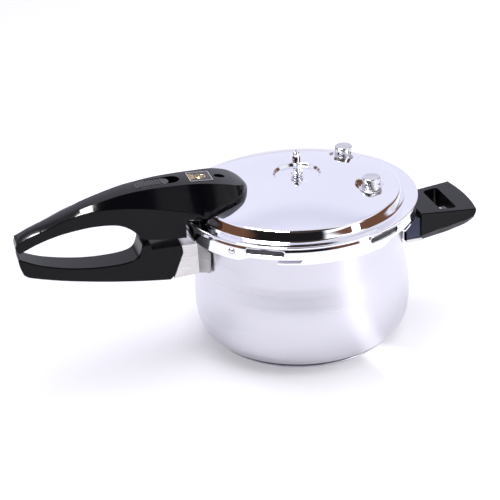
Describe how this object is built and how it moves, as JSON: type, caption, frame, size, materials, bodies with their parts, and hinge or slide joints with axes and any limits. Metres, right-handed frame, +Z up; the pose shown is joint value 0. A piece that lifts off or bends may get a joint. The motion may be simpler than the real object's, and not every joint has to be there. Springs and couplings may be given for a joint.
{
  "type": "stovetop pressure cooker",
  "caption": "Bellied stainless steel stovetop pressure cooker with a turn-to-lock domed lid, a pair of long black handles and a short helper handle.",
  "frame": {"origin": "centre of the base's underside, on the hob", "axes": "+Z up; the long handles reach along -X and the helper handle along +X"},
  "size_m": [0.4792, 0.245, 0.1975],
  "materials": {
    "polished_steel": "mirror-polished stainless steel",
    "satin_steel": "satin stainless steel",
    "plain_steel": "plain bright steel",
    "aluminium": "sandwiched heat-spreading plate",
    "black_moulding": "glossy black heat-resistant moulding",
    "slider_moulding": "dark grey satin moulding",
    "silicone": "grey silicone rubber",
    "gold_plate": "pale gold satin plate"
  },
  "bodies": {
    "pot": {"pot_body": "polished_steel", "base_core": "aluminium", "base_cap": "satin_steel", "lower_handle_bracket": "plain_steel", "lower_flame_guard": "satin_steel", "lower_handle_grip": "black_moulding", "lower_handle_screw": "plain_steel", "helper_bracket": "plain_steel", "helper_flame_guard": "satin_steel", "helper_grip": "black_moulding", "helper_screw": "plain_steel"},
    "seal": {"lid_gasket": "silicone"},
    "lid": {"lid_shell": "polished_steel", "lid_stop_rivet": "polished_steel", "vent_pipe": "polished_steel", "vent_nut": "plain_steel", "vent_strainer": "plain_steel", "float_bush": "silicone", "upper_handle_cover": "black_moulding", "badge_plate": "gold_plate", "upper_handle_base": "black_moulding", "lid_handle_bracket": "plain_steel", "lid_handle_screw": "plain_steel", "lid_handle_tip_screw": "plain_steel", "relief_front_seat": "plain_steel", "relief_front_nut": "plain_steel", "relief_front_cap": "polished_steel", "relief_front_spring": "plain_steel", "relief_rear_seat": "plain_steel", "relief_rear_nut": "plain_steel", "relief_rear_cap": "polished_steel", "relief_rear_spring": "plain_steel"},
    "lock": {"lock_slider": "slider_moulding", "lock_bar": "plain_steel"},
    "float": {"float_pin": "plain_steel", "float_clip": "plain_steel"},
    "relief_front": {"relief_front_poppet": "plain_steel"},
    "relief_rear": {"relief_rear_poppet": "plain_steel"}
  },
  "joints": [
    {"name": "lid_lift", "type": "slide", "parent": "pot", "child": "seal", "axis": [0, 0, 1], "range_m": [0, 0.15]},
    {"name": "lid_turn", "type": "hinge", "parent": "seal", "child": "lid", "pos_m": [0, 0, 0.1375], "axis": [0, 0, 1], "range_deg": [-36, 0]},
    {"name": "lock_slide", "type": "slide", "parent": "lid", "child": "lock", "axis": [1, 0, 0], "range_m": [0, 0.0105]},
    {"name": "float_rise", "type": "slide", "parent": "lid", "child": "float", "axis": [0, 0, 1], "range_m": [0, 0.0045]},
    {"name": "relief_front_lift", "type": "slide", "parent": "lid", "child": "relief_front", "axis": [0, 0, 1], "range_m": [0, 0.002], "stiffness_N_per_m": 1000, "springref_m": -0.0014, "deforming": ["relief_front_spring"]},
    {"name": "relief_rear_lift", "type": "slide", "parent": "lid", "child": "relief_rear", "axis": [0, 0, 1], "range_m": [0, 0.002], "stiffness_N_per_m": 1000, "springref_m": -0.0014, "deforming": ["relief_rear_spring"]}
  ]
}
